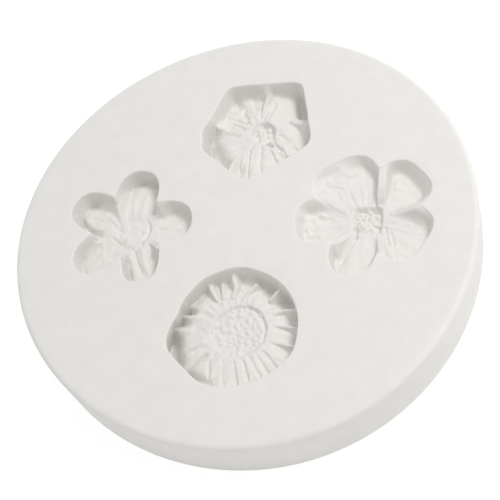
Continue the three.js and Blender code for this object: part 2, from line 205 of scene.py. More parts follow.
def near_line(x, y, points):
    """Distance from a bent line, the side it lies on, and the line's third value at the nearest point."""
    gap = np.full_like(x, np.inf)
    side = np.zeros_like(x)
    level = np.zeros_like(x)
    for (x0, y0, level0), (x1, y1, level1) in zip(points, points[1:]):
        dx = x1 - x0
        dy = y1 - y0
        share = np.clip(((x - x0) * dx + (y - y0) * dy) / (dx * dx + dy * dy), 0, 1)
        gap_x = x - x0 - share * dx
        gap_y = y - y0 - share * dy
        here = np.hypot(gap_x, gap_y)
        nearer = here < gap
        gap = np.where(nearer, here, gap)
        side = np.where(nearer, dx * gap_y - dy * gap_x, side)
        level = np.where(nearer, lerp(level0, level1, share), level)
    return gap, side, level


def pleat(x, y, points, left, right):
    """Height of a soft fold along a bent line, with its own width on either side."""
    gap, side, level = near_line(x, y, points)
    width = np.where(side > 0, left, right)
    return level * np.exp(-((gap / width) ** 2))


def pleats(x, y, folds):
    return sum(pleat(x, y, points, left, right) for points, left, right in folds)


def partition(depth, x, y, points, half_width, left_slope, right_slope):
    """Raises the floor to a wall whose crest depth is the third value along a bent line."""
    gap, side, crest = near_line(x, y, points)
    slope = np.where(side > 0, left_slope, right_slope)
    return soft_min(depth, crest + slope * np.maximum(gap - half_width, 0), CREST_BLEND)


def bump(x, y, place_x, place_y, size, height):
    """Height of a soft lump, or depth of a hollow where the height is below 0."""
    return height * np.exp(-((x - place_x) ** 2 + (y - place_y) ** 2) / size ** 2)


def bumps(x, y, spots):
    return sum(bump(x, y, *spot) for spot in spots)


def domes(x, y, spots):
    """Height of a few round beads."""
    raised = np.zeros_like(x)
    for place_x, place_y, size, height in spots:
        away = np.hypot(x - place_x, y - place_y) / size
        raised = np.maximum(raised, height * np.clip(1 - away ** 2, 0, 1))
    return raised


def seeds(x, y, count, spacing, scatter, size, height, seed):
    """Height of small beads of mixed sizes, which wind out from the middle in a loose spiral."""
    chance = np.random.default_rng(seed)
    spots = []
    for bead in range(count):
        r = spacing * math.sqrt(bead + 0.5)
        stray_x, stray_y = chance.normal(0, scatter, 2)
        place_x = r * math.cos(bead * GOLDEN_ANGLE) + stray_x
        place_y = r * math.sin(bead * GOLDEN_ANGLE) + stray_y
        grown = chance.uniform(SMALLEST_BEAD, 1)
        spots.append((place_x, place_y, size * grown, height * grown))
    return domes(x, y, spots)


def recess(depth, middle, r, radius, wall):
    """Swaps the petal floor for the deeper middle inside a radius."""
    return lerp(middle, depth, smoothstep(r, radius - wall, radius))


# Outlines and depths

def petal_inset(x, y, angle, reach, length, width, bluntness, aside):
    """How far a point lies inside the edge of one petal, whose outline is a blunt ellipse."""
    along, across = along_across(x, y, angle)
    u = np.abs(along - reach + length / 2) / (length / 2)
    v = np.abs(across - aside) / (width / 2)
    size = np.maximum((u ** bluntness + v ** bluntness) ** (1 / bluntness), SMALLEST)
    slope_along = (u / size) ** (bluntness - 1) / (length / 2)
    slope_across = (v / size) ** (bluntness - 1) / (width / 2)
    return (1 - size) / np.hypot(slope_along, slope_across)


def blossom_inset(x, y, outline, reach, length, width, hub_radius):
    """How far a point lies inside the edge of a flower, whose petals meet at a round hub."""
    insets = [
        petal_inset(x, y, angle, reach + longer, length, width + wider, bluntness, aside)
        for angle, longer, wider, bluntness, aside in outline
    ]
    return blended_max([*insets, hub_radius - np.hypot(x, y)], NOTCH_BLEND)


def angle_gap(x, y, angle):
    return (np.degrees(np.arctan2(y, x)) - angle + 180) % 360 - 180


def bulges(x, y, places):
    """How far an outline bulges out at the angle of each point."""
    return sum(
        height * np.exp(-((angle_gap(x, y, angle) / spread) ** 2))
        for angle, height, spread in places
    )


def by_angle(x, y, edge, column):
    """A value of a pocket's edge, which passes softly from one written angle to the next."""
    weights = [np.exp(-((angle_gap(x, y, place[ANGLE]) / EDGE_SPREAD) ** 2)) for place in edge]
    return sum(weight * place[column] for weight, place in zip(weights, edge)) / sum(weights)


def floor_depth(x, y, inside, inner_depth, outward, edge):
    """Depth of the petals, with a rolled edge that is deepest at the foot of the wall."""
    roll = by_angle(x, y, edge, ROLL) * np.exp(-np.maximum(inside, 0) / ROLL_WIDTH)
    return lerp(inner_depth, by_angle(x, y, edge, TIP), outward) + roll


def ruffles(x, y, spokes, length, seed):
    """Random folds between -1 and 1 that run outwards from the middle, with one spoke to each fold."""
    lattice = np.random.default_rng(seed).uniform(-1, 1, (spokes, FOLD_RINGS))
    u = (np.arctan2(y, x) / (2 * math.pi) % 1) * spokes
    v = np.clip(np.hypot(x, y) / length, 0, FOLD_RINGS - LATTICE_EDGE)
    i = np.floor(u).astype(int) % spokes
    j = np.floor(v).astype(int)
    s = smoothstep(u % 1, 0, 1)
    t = smoothstep(v - j, 0, 1)
    return between(lattice, i, (i + 1) % spokes, j, s, t)


def grain(x, y, seed):
    """Small unevenness of flowers that were shaped by hand."""
    coarse = soft_noise(x, y, GRAIN_CELL, seed)
    fine = soft_noise(x, y, GRAIN_CELL / 2, seed + 1)
    return GRAIN_HEIGHT * (coarse + fine / 2)


def petal_work(x, y, height, spokes, inner_radius, seed):
    """Ruffles and grain of the petals, which start at a flower's middle."""
    start = smoothstep(np.hypot(x, y), inner_radius - FOLD_START, inner_radius + FOLD_FULL)
    wide = ruffles(x, y, spokes, FOLD_LENGTH, seed)
    fine = ruffles(x, y, 2 * spokes, FINE_FOLD_LENGTH, seed + 1)
    return height * start * (wide + FINE_FOLD_SHARE * fine) + grain(x, y, seed + 2)


# Bell flower: five nearly straight sides, folded petals and a deep throat
BELL_APOTHEM = 9.2
# The angle of each side and how much further out it stands than the apothem
BELL_SIDES = [(90, -0.35), (11, -0.2), (-55, 0.3), (-131, 0.8), (160, -0.15)]
BELL_CORNER_BLEND = 0.7
BELL_BULGES = [(267, -0.2, 10), (183, 0.3, 9), (196, -0.5, 7)]
BELL_COLLAR_DEPTH = 2.8
BELL_EDGE = [
    (36, 5.0, 0.3, 0.3, 8),
    (62, 3.2, 0.2, 0.7, 2.2),
    (84, 3.8, 0.2, 0.6, 2.4),
    (124, 3.8, 0.2, 0.6, 2.4),
    (152, 3.8, 0.6, 0.4, 6),
    (203, 3.2, 1.8, 0.3, 24),
    (-88, 3.0, 1.6, 0.3, 4),
    (-14, 3.6, 1.2, 0.3, 6),
]
BELL_THROAT_X = 0.4
BELL_THROAT_Y = 0.0
BELL_THROAT_RADIUS = 2.5
BELL_THROAT_DEPTH = 4.3
BELL_THROAT_WALL = 1.1
BELL_RUFFLE = 0.24
BELL_SPOKES = 34
BELL_FOLD_SEED = 11
BELL_PARTITIONS = [
    ([(0.75, 9.3, 0.5), (0.7, 8.3, 1.7), (0.9, 7.7, 2.3), (0.4, 6.2, 2.7), (0.1, 3.8, 2.8)], 0.3, 2.5, 1.2),
    ([(8.9, 0.9, 1.4), (7.7, 1.5, 2.4), (6.7, 2.0, 2.8), (5.9, 2.4, 3.0)], 0.5, 1.4, 5.0),
    ([(-9.9, 2.8, 1.4), (-8.8, 2.3, 2.2), (-7.6, 1.6, 2.8)], 0.3, 0.8, 2.2),
    ([(-4.9, -8.0, 2.4), (-4.6, -6.4, 2.6), (-3.9, -5.0, 2.75)], 0.25, 1.8, 1.8),
    ([(6.2, -6.4, 1.4), (5.6, -5.2, 2.75), (4.4, -2.9, 2.85)], 0.3, 1.6, 1.0),
]
BELL_PLEATS = [
    ([(-6.6, 9.2, -1.2), (-5.7, 7.9, -1.2), (-4.9, 6.6, -0.5)], 0.6, 0.6),
    ([(-9.5, 1.0, -0.3), (-9.4, -0.9, -1.0), (-8.9, -2.3, -1.5), (-8.1, -4.0, -1.6),
      (-6.5, -6.3, -1.5)], 1.4, 2.6),
    ([(-1.7, -4.0, -0.2), (-1.8, -6.3, -0.4), (-1.9, -8.9, -0.4)], 0.22, 0.22),
    ([(0.2, -4.5, -0.15), (0.5, -8.0, -0.3)], 0.3, 0.3),
    ([(2.2, -4.2, -0.2), (3.1, -6.4, -0.35)], 0.3, 0.3),
    ([(6.4, 7.4, -0.8), (6.6, 5.6, -1.2), (7.0, 3.6, -1.2)], 0.8, 0.6),
    ([(1.2, -2.4, -0.7), (2.0, -2.9, -0.6)], 0.3, 0.3),
    ([(2.5, -1.3, -0.5), (2.6, -2.3, -0.5)], 0.2, 0.2),
    ([(3.0, -3.0, -0.5), (3.8, -3.9, -0.5)], 0.3, 0.3),
    ([(3.3, -0.4, -0.3), (4.6, -1.8, -0.4)], 0.5, 0.5),
    ([(0.7, -3.6, -0.15), (1.6, -4.6, -0.2)], 0.3, 0.3),
    ([(5.9, -2.0, 0.2), (7.2, -3.6, 0.2)], 0.4, 0.4),
    ([(-5.2, -6.3, -1.0), (-3.9, -7.4, -1.0), (-2.8, -8.2, -0.4)], 0.9, 0.9),
    ([(-2.8, -5.0, 0.2), (-3.2, -7.4, 0.2)], 0.35, 0.35),
    ([(-5.7, 2.6, -0.25), (-4.3, 2.1, -0.4), (-3.2, 1.0, -0.3)], 0.22, 0.22),
    ([(-4.8, 3.3, -0.2), (-3.0, 2.4, -0.3)], 0.22, 0.22),
    ([(-3.6, 5.8, -0.2), (-3.9, 4.7, -0.5), (-2.8, 3.4, -0.5)], 0.45, 0.45),
    ([(-6.8, 0.9, 0.15), (-3.6, -0.2, 0.2)], 0.3, 0.3),
    ([(-2.8, 6.0, -0.2), (-1.2, 5.6, -0.3)], 0.25, 0.25),
    ([(-0.35, 6.6, -0.4), (-0.25, 4.2, -0.3)], 0.25, 0.25),
    ([(2.0, 6.4, -0.3), (1.5, 4.9, -0.25)], 0.35, 0.35),
    ([(-7.6, 5.8, -0.2), (-5.9, 5.2, -0.25)], 0.3, 0.3),
]
BELL_MOUND = (-0.2, -0.1, 1.5, 0.6)  # the beads of the throat stand on a low mound
BELL_STAMENS = [
    (-0.5, 1.3, 0.8, 0.65),
    (-0.3, 0.0, 0.8, 0.65),
    (-1.1, -0.8, 0.8, 0.65),
    (0.2, -1.2, 0.8, 0.65),
    (1.2, 1.1, 0.65, 0.6),
    (1.3, -0.1, 0.5, 0.4),
]


def bell_inset(x, y):
    gaps = [along_across(x, y, angle)[0] - BELL_APOTHEM - extra for angle, extra in BELL_SIDES]
    return bulges(x, y, BELL_BULGES) - blended_max(gaps, BELL_CORNER_BLEND)


def bell_floor(x, y, inside):
    r = np.hypot(x, y)
    outward = smoothstep(r, BELL_THROAT_RADIUS, BELL_APOTHEM)
    depth = floor_depth(x, y, inside, BELL_COLLAR_DEPTH, outward, BELL_EDGE)
    depth = depth + petal_work(x, y, BELL_RUFFLE, BELL_SPOKES, BELL_THROAT_RADIUS, BELL_FOLD_SEED)
    depth = depth - pleats(x, y, BELL_PLEATS)
    for crest in BELL_PARTITIONS:
        depth = partition(depth, x, y, *crest)
    throat = BELL_THROAT_DEPTH - bump(x, y, *BELL_MOUND) - domes(x, y, BELL_STAMENS)
    throat_r = np.hypot(x - BELL_THROAT_X, y - BELL_THROAT_Y)
    return recess(depth, throat, throat_r, BELL_THROAT_RADIUS, BELL_THROAT_WALL)


# Plum blossom: five round petals with lengthwise ribs and a shallow round middle
PLUM_REACH = 11.4
PLUM_LENGTH = 11
PLUM_WIDTH = 8.1
PLUM_OUTLINE = [
    (82, 0.2, -0.1, 2.4, 0),
    (7, 0.4, 0.2, 2.4, 0),
    (-85, -0.5, -1.5, 3.0, 2.9),
    (-135, -0.3, -0.5, 2.4, 0),
    (154, 0.3, -0.4, 2.4, -0.35),
]
PLUM_HUB_RADIUS = 5.5
PLUM_INNER_DEPTH = 2.9
PLUM_EDGE = [
    (82, 3.4, 1.1, 0.3, 5),
    (20, 3.2, 0.3, 0.5, 4),
    (-5, 2.8, 0.2, 0.6, 3),
    (-66, 3.0, 1.4, 0.3, 12),
    (-135, 3.4, 1.1, 0.4, 12),
    (154, 3.7, 0.6, 0.4, 12),
]
PLUM_TIP_RADIUS = 9.5
PLUM_DISH_X = 0.1
PLUM_DISH_Y = 0.5
PLUM_DISH_RADIUS = 3.7
PLUM_DISH_DEPTH = 3.25
PLUM_DISH_WALL = 1.4
PLUM_RUFFLE = 0.13
PLUM_SPOKES = 36
PLUM_FOLD_SEED = 21
PLUM_PARTITIONS = [
    ([(-3.8, 7.8, 0.3), (-3.4, 7.0, 0.9), (-2.95, 6.1, 1.6), (-2.45, 4.5, 2.3), (-1.9, 2.95, 2.8),
      (-1.2, 1.3, 3.2), (-0.4, -0.1, 3.5)], 0.4, 1.6, 1.0),
    ([(5.9, 5.2, 0.3), (5.1, 4.3, 1.2), (4.5, 3.7, 2.4), (3.8, 3.2, 3.0)], 0.3, 2, 1.5),
    ([(6.3, -3.8, 0.3), (5.4, -2.7, 1.6), (4.5, -1.8, 2.5), (3.9, -1.4, 2.9)], 0.5, 3, 3),
    ([(-1.7, -6.8, 0.3), (-1.6, -5.4, 1.8), (-1.5, -4.0, 2.7)], 0.4, 3, 3),
    ([(-8.3, -1.4, 0.3), (-7.0, -1.2, 1.7), (-5.6, -1.0, 2.7)], 0.5, 1.6, 1.6),
]
PLUM_PLEATS = [
    ([(-10.9, 4.8, -0.6), (-10.2, 3.6, -1.2), (-9.4, 2.6, -1.3), (-7.8, 1.4, -1.3),
      (-6.3, 0.7, -0.8)], 0.5, 0.6),
    ([(-2.3, 8.6, -0.5), (-2.0, 7.6, -0.3)], 0.35, 0.35),
    ([(1.1, -3.4, -0.3), (1.7, -5.0, -0.5), (2.8, -7.4, -0.4)], 0.3, 0.3),
    ([(-1.8, -4.6, -0.6), (-1.3, -5.8, -1.4), (-0.8, -6.9, -1.6), (0.1, -8.0, -1.2)], 0.7, 0.9),
    ([(0.2, -4.0, 0.2), (0.9, -6.0, 0.3), (2.0, -8.0, 0.2)], 0.55, 0.55),
    ([(2.4, -3.2, 0.2), (3.2, -5.3, 0.35), (3.9, -7.4, 0.3)], 0.5, 0.5),
    ([(4.9, 1.1, -0.1), (7.0, 0.7, -0.12), (9.0, 0.5, -0.1)], 0.3, 0.3),
    ([(-8.0, 4.2, -0.15), (-6.3, 3.4, -0.2), (-4.6, 2.6, -0.15)], 0.3, 0.3),
    ([(-0.6, 7.6, 0.2), (-0.2, 4.6, 0.2)], 0.4, 0.4),
    ([(1.7, 7.8, 0.25), (1.4, 4.6, 0.2)], 0.4, 0.4),
    ([(-7.2, -6.6, 0.2), (-4.4, -3.6, 0.25)], 0.5, 0.5),
]
PLUM_DISH_GROOVES = [
    ([(-3.3, -0.6, -0.5), (-2.3, -1.5, -0.7), (-1.0, -2.2, -0.45), (0.3, -2.6, -0.4)], 0.4, 0.3),
    ([(2.4, 3.1, -0.15), (3.1, 2.0, -0.4), (3.2, 0.8, -0.5), (2.7, -0.5, -0.4)], 0.3, 0.5),
]
PLUM_DISH_MARKS = [
    (1.7, 0.5, 0.45, -0.3),
    (-0.6, -0.8, 0.5, 0.3),
    (-1.6, -0.2, 0.5, 0.2),
    (-2.6, 1.2, 0.35, -0.25),
    (-3.3, 1.9, 0.35, -0.2),
    (2.2, -1.9, 0.4, -0.25),
    (0.7, 1.9, 0.6, 0.15),
]


def plum_inset(x, y):
    return blossom_inset(x, y, PLUM_OUTLINE, PLUM_REACH, PLUM_LENGTH, PLUM_WIDTH, PLUM_HUB_RADIUS)


def plum_floor(x, y, inside):
    outward = smoothstep(np.hypot(x, y), PLUM_DISH_RADIUS, PLUM_TIP_RADIUS)
    depth = floor_depth(x, y, inside, PLUM_INNER_DEPTH, outward, PLUM_EDGE)
    depth = depth + petal_work(x, y, PLUM_RUFFLE, PLUM_SPOKES, PLUM_DISH_RADIUS, PLUM_FOLD_SEED)
    depth = depth - pleats(x, y, PLUM_PLEATS)
    dish_r = np.hypot(x - PLUM_DISH_X, y - PLUM_DISH_Y)
    depth = recess(depth, PLUM_DISH_DEPTH, dish_r, PLUM_DISH_RADIUS, PLUM_DISH_WALL)
    depth = depth - bumps(x, y, PLUM_DISH_MARKS) - pleats(x, y, PLUM_DISH_GROOVES)
    for crest in PLUM_PARTITIONS:
        depth = partition(depth, x, y, *crest)
    return depth


# Wild rose: five broad petals, high thin partitions and a bead-filled middle
ROSE_REACH = 11.5
ROSE_LENGTH = 11
ROSE_WIDTH = 9.6
ROSE_OUTLINE = [
    (117, 0.1, 2.0, 3.0, 0),
    (41, 0.6, 0.4, 3.0, 0),
    (-30, -0.1, 1.2, 3.2, 0),
    (-99, 0.2, -1.8, 2.4, -0.6),
    (187, 0.1, -1.0, 3.0, 0),
]
ROSE_HUB_RADIUS = 6
ROSE_INNER_DEPTH = 2.8
ROSE_EDGE = [
    (66, 2.6, 0.2, 0.5, 5),
    (92, 2.6, 0.3, 0.5, 5),
    (120, 2.0, 0.0, 2.4, 2),
    (150, 2.1, 0.2, 1.2, 4),
    (41, 2.9, 0.0, 2.0, 10),
    (-30, 2.7, 0.3, 0.8, 8),
    (-95, 2.8, 0.5, 0.8, 8),
    (-125, 3.0, 0.7, 0.5, 12),
    (187, 2.7, 0.6, 0.8, 8),
]
ROSE_TIP_RADIUS = 10
ROSE_MIDDLE_X = 0.1
ROSE_MIDDLE_Y = 0.2
ROSE_MIDDLE_RADIUS = 2.8
ROSE_MIDDLE_BLUNTNESS = 4
ROSE_MIDDLE_DEPTH = 3.9
ROSE_MIDDLE_WALL = 0.9
ROSE_RUFFLE = 0.11
ROSE_SPOKES = 44
ROSE_FOLD_SEED = 31
ROSE_PARTITIONS = [
    ([(2.8, 9.8, 0.2), (2.65, 7.5, 0.4), (2.5, 5.5, 0.8), (2.35, 3.9, 1.7), (2.3, 3.0, 2.5)], 0.6, 3, 4),
    ([(-7.6, 4.3, 0.6), (-6.2, 3.5, 1.6), (-5.1, 2.8, 2.1), (-3.7, 2.2, 2.5)], 0.3, 1.0, 0.8),
    ([(10.6, 1.0, 0.3), (9.3, 1.1, 0.6), (7.8, 1.3, 1.4), (6.0, 1.4, 2.0), (4.6, 1.35, 2.6)], 0.4, 1.0, 1.0),
    ([(3.1, -7.5, 0.4), (2.7, -5.5, 1.8), (2.3, -3.4, 2.5)], 0.5, 2, 2),
    ([(-5.4, -5.0, 0.4), (-4.2, -3.8, 2.0), (-3.0, -2.4, 2.6)], 0.5, 2, 2),
]
ROSE_PLEATS = [
    ([(-1.2, -3.4, 0.3), (-2.2, -5.4, 0.5), (-3.1, -7.2, 0.4), (-3.6, -8.2, 0.1)], 1.8, 0.3),
    ([(-1.7, -3.3, -0.4), (-2.7, -5.3, -0.7), (-3.6, -7.0, -0.6), (-4.1, -8.0, -0.1)], 0.2, 0.6),
    ([(2.2, -2.0, -0.3), (3.0, -4.4, -0.35)], 0.25, 0.25),
    ([(3.2, -1.5, -0.25), (3.7, -4.5, -0.3)], 0.22, 0.22),
    ([(4.0, -2.2, -0.2), (4.7, -4.6, -0.3)], 0.22, 0.22),
    ([(4.3, 7.0, -0.2), (4.1, 6.0, -0.35), (3.4, 4.9, -0.25)], 0.25, 0.25),
    ([(-4.0, 8.4, -0.15), (-2.9, 8.1, -0.2), (-1.6, 9.2, -0.15)], 0.25, 0.25),
    ([(-6.6, 6.4, -0.15), (-4.0, 6.1, -0.2)], 0.25, 0.25),
    ([(-5.1, 5.6, -0.1), (-4.8, 4.4, -0.1)], 0.25, 0.25),
    ([(-3.1, 5.7, -0.1), (-2.6, 4.4, -0.15)], 0.3, 0.3),
    ([(-8.4, 7.5, -0.8), (-7.1, 8.5, -0.8), (-5.6, 9.3, -0.4)], 0.5, 0.5),
    ([(-9.8, -2.9, -0.4), (-8.3, -2.7, -0.4)], 0.4, 0.4),
    ([(-8.0, 0.6, -0.3), (-6.0, 0.5, -0.35)], 0.5, 0.5),
    ([(-2.0, -1.2, -0.4), (-1.6, -3.0, -0.4)], 0.25, 0.25),
]
ROSE_LUMPS = [
    (-4.2, 9.6, 1.9, 0.5),
    (-9.6, 2.6, 1.2, -0.6),
    (-6.5, 7.3, 0.5, 0.2),
    (-11.2, 0.6, 0.8, 1.4),
    (-9.9, -0.5, 0.5, 0.25),
    (-8.6, 0.4, 0.45, 0.2),
    (-9.0, -1.7, 0.5, -0.25),
    (-8.0, -0.9, 0.4, 0.2),
    (-10.4, -1.6, 0.4, -0.3),
    (-7.4, 1.3, 0.4, 0.2),
    (-8.9, 1.5, 0.4, -0.2),
]
ROSE_CLUSTER = (-0.7, -0.8, 1.5, 0.9)  # the beads stand highest on a mound left of the middle
ROSE_BEADS = (32, 0.5, 0.2, 0.7, 0.6, 6)


def rose_inset(x, y):
    return blossom_inset(x, y, ROSE_OUTLINE, ROSE_REACH, ROSE_LENGTH, ROSE_WIDTH, ROSE_HUB_RADIUS)


def rose_floor(x, y, inside):
    outward = smoothstep(np.hypot(x, y), ROSE_MIDDLE_RADIUS, ROSE_TIP_RADIUS)
    depth = floor_depth(x, y, inside, ROSE_INNER_DEPTH, outward, ROSE_EDGE)
    depth = depth + petal_work(x, y, ROSE_RUFFLE, ROSE_SPOKES, ROSE_MIDDLE_RADIUS, ROSE_FOLD_SEED)
    depth = depth - pleats(x, y, ROSE_PLEATS) - bumps(x, y, ROSE_LUMPS)
    for crest in ROSE_PARTITIONS:
        depth = partition(depth, x, y, *crest)
    u = np.abs(x - ROSE_MIDDLE_X)
    v = np.abs(y - ROSE_MIDDLE_Y)
    blunt_r = (u ** ROSE_MIDDLE_BLUNTNESS + v ** ROSE_MIDDLE_BLUNTNESS) ** (1 / ROSE_MIDDLE_BLUNTNESS)
    raised = bump(x, y, *ROSE_CLUSTER) + seeds(x - ROSE_MIDDLE_X, y - ROSE_MIDDLE_Y, *ROSE_BEADS)
    middle = ROSE_MIDDLE_DEPTH - raised
    return recess(depth, middle, blunt_r, ROSE_MIDDLE_RADIUS, ROSE_MIDDLE_WALL)


# Daisy: a ring of narrow petals round a wide seed disc
DAISY_RADIUS = 10.35
DAISY_BULGES = [
    (93, 0.4, 18),
    (125, 0.3, 12),
    (167, -0.3, 7),
    (195, 1.15, 17),
    (245, 0.3, 15),
    (334, 0.4, 15),
]
DAISY_UNDERCUTS = [(183, 1.7, 40)]
DAISY_INNER_DEPTH = 2.7
DAISY_EDGE = [
    (0, 3.7, 0.6, 0.3, 6),
    (45, 4.6, 0.8, 0.3, 6),
    (90, 3.6, 0.8, 0.6, 3),
    (135, 3.5, 1.6, 0.3, 6),
    (180, 3.4, 1.8, 0.3, 12),
    (225, 3.2, 1.9, 0.3, 12),
    (270, 3.0, 0.8, 0.3, 4),
    (315, 3.3, 0.8, 0.3, 6),
]
DAISY_DISC_X = 0.0
DAISY_DISC_Y = 0.4
DAISY_DISC_RADIUS = 4.8
DAISY_DISC_DEPTH = 3.3
DAISY_DISC_WALL = 0.7
DAISY_RUFFLE = 0.2
DAISY_SPOKES = 48
DAISY_FOLD_SEED = 41
DAISY_GRAIN_SEED = 45
# The ridges share one slope, so their rows end with half the width of the crest
DAISY_RIDGES = [
    ([(-5.7, 9.0, 2.7), (-5.2, 7.9, 2.3), (-4.1, 6.1, 2.6)], 0.3),
    ([(-3.6, 8.9, 2.9), (-3.3, 7.6, 2.5), (-3.0, 6.4, 2.7)], 0.25),
    ([(-1.5, 9.7, 1.8), (-1.25, 8.9, 1.9), (-1.0, 8.2, 2.2), (-1.5, 6.6, 2.6)], 0.3),
    ([(2.3, 8.6, 2.3), (1.2, 7.4, 2.4), (0.3, 6.0, 2.7)], 0.2),
    ([(6.9, 7.7, 1.8), (6.0, 7.0, 2.0), (4.9, 5.9, 2.7)], 0.2),
    ([(9.3, 3.7, 1.9), (7.4, 3.9, 2.5), (5.8, 3.5, 2.9)], 0.2),
    ([(10.2, 0.4, 2.0), (8.5, 0.9, 2.5), (6.0, 1.4, 2.9)], 0.15),
    ([(10.1, -2.7, 2.0), (8.5, -2.3, 2.5), (5.2, -1.3, 2.9)], 0.15),
]
DAISY_RIDGE_SLOPE = 2.5
DAISY_PLEATS = [
    ([(-10.9, 5.3, -2.2), (-9.6, 4.7, -2.2), (-8.2, 4.1, -1.0)], 0.65, 0.65),
    ([(-11.3, 2.6, -2.0), (-9.9, 2.6, -1.9), (-8.8, 2.2, -0.7)], 0.6, 0.6),
    ([(-11.8, 0.3, -2.0), (-10.6, -0.6, -2.4), (-10.4, -2.6, -2.2), (-9.6, -4.4, -1.4)], 1.1, 1.4),
    ([(-10.3, 6.1, 0.1), (-8.6, 5.3, 0.5), (-6.8, 4.3, 0.3)], 0.7, 0.7),
    ([(-10.4, 3.6, 0.1), (-9.0, 3.5, 0.6), (-7.6, 3.2, 0.3)], 0.65, 0.65),
    ([(-10.9, 1.5, 0.1), (-9.5, 0.9, 0.7), (-8.2, 0.8, 0.4)], 0.65, 0.65),
    ([(-9.2, -3.2, 0.5), (-7.4, -2.4, 0.4), (-5.9, -1.4, 0.2)], 0.8, 0.5),
    ([(-5.1, -3.8, -0.5), (-6.3, -5.1, -0.8), (-7.8, -6.5, -0.8)], 0.35, 0.35),
    ([(-7.6, -6.6, -0.9), (-6.0, -7.6, -0.9), (-4.3, -8.3, -0.6)], 0.6, 0.6),
    ([(-4.4, -5.0, -0.2), (-4.3, -7.3, -0.35)], 0.3, 0.3),
    ([(-0.2, -5.3, -0.3), (0.4, -8.6, -0.5)], 0.25, 0.25),
    ([(2.3, -4.4, -0.3), (4.0, -7.2, -0.45)], 0.4, 0.4),
    ([(4.5, -3.4, -0.3), (6.4, -5.6, -0.5)], 0.4, 0.4),
    ([(-2.1, -5.0, -0.2), (-2.0, -8.5, -0.25)], 0.3, 0.3),
    ([(1.2, -4.8, -0.15), (2.2, -7.8, -0.25)], 0.3, 0.3),
    ([(3.5, -4.0, -0.15), (5.2, -6.6, -0.25)], 0.3, 0.3),
    ([(-0.4, 7.8, -0.3), (-1.2, 6.2, -0.4)], 0.25, 0.25),
    ([(-3.8, 6.7, -0.5), (-3.6, 6.1, -0.5)], 0.25, 0.25),
    ([(5.0, -1.3, -0.1), (8.0, -2.0, -0.2)], 0.25, 0.25),
]
DAISY_RING = [
    ([(4.2, -1.8, -0.2), (4.5, 1.0, -0.35), (3.5, 3.5, -0.35), (1.0, 4.9, -0.25)], 0.3, 0.3),
]
DAISY_SEEDS = (76, 0.54, 0.28, 0.7, 0.3, 5)


def daisy_inset(x, y):
    return DAISY_RADIUS + bulges(x, y, DAISY_BULGES) - np.hypot(x, y)


def daisy_floor(x, y, inside):
    r = np.hypot(x - DAISY_DISC_X, y - DAISY_DISC_Y)
    outward = smoothstep(r, DAISY_DISC_RADIUS, DAISY_RADIUS)
    depth = floor_depth(x, y, inside, DAISY_INNER_DEPTH, outward, DAISY_EDGE)
    depth = depth + petal_work(x, y, DAISY_RUFFLE, DAISY_SPOKES, DAISY_DISC_RADIUS, DAISY_FOLD_SEED)
    depth = depth - pleats(x, y, DAISY_PLEATS)
    for points, half_width in DAISY_RIDGES:
        depth = partition(depth, x, y, points, half_width, DAISY_RIDGE_SLOPE, DAISY_RIDGE_SLOPE)
    raised = seeds(x - DAISY_DISC_X, y - DAISY_DISC_Y, *DAISY_SEEDS)
    disc = DAISY_DISC_DEPTH - raised + grain(x, y, DAISY_GRAIN_SEED)
    return recess(depth, disc, r, DAISY_DISC_RADIUS, DAISY_DISC_WALL) - pleats(x, y, DAISY_RING)


# The four pockets: distance from the middle of the disc and angle of each flower, its outline, its floor,
# its edge and where its rim hangs over
FLOWERS = [
    (20.3, 86, bell_inset, bell_floor, BELL_EDGE, []),
    (20.3, 180, plum_inset, plum_floor, PLUM_EDGE, []),
    (21.3, 2.4, rose_inset, rose_floor, ROSE_EDGE, []),
    (19.3, -86.7, daisy_inset, daisy_floor, DAISY_EDGE, DAISY_UNDERCUTS),
]

# Search for the rim of a pocket along a ray, between its middle and a point that is outside every pocket
FAR_OUT = 20
HALVINGS = 22


def pocket_relief(x, y, inset, floor, edge, undercuts):
    """Depth below the top face, from a soft rim down a wall to the floor, and the reach under the rim."""
    inside = inset(x, y)
    rim_reach = np.clip(inside + RIM_ROUND, 0, RIM_ROUND)
    rim = RIM_ROUND - np.sqrt(np.maximum(RIM_ROUND ** 2 - rim_reach ** 2, 0))
    run = by_angle(x, y, edge, WALL)
    share = np.maximum(inside / run, 0)
    tightness = by_angle(x, y, edge, FOOT)
    curve = share / (1 + share ** tightness) ** (1 / tightness)
    below = np.maximum(floor(x, y, inside) - RIM_ROUND, 0)
    fade = np.exp(-np.maximum(inside - run, 0) / UNDERCUT_FADE)
    return rim + below * curve, bulges(x, y, undercuts) * curve * fade


def rim_radii(angles, inset):
    """Distance from the flower's middle to the outside of its soft rim, along each ray."""
    near = np.zeros_like(angles)
    far = np.full_like(angles, FAR_OUT)
    for _ in range(HALVINGS):
        middle = (near + far) / 2
        is_inside = inset(middle * np.cos(angles), middle * np.sin(angles)) > -RIM_ROUND
        near = np.where(is_inside, middle, near)
        far = np.where(is_inside, far, middle)
    return near


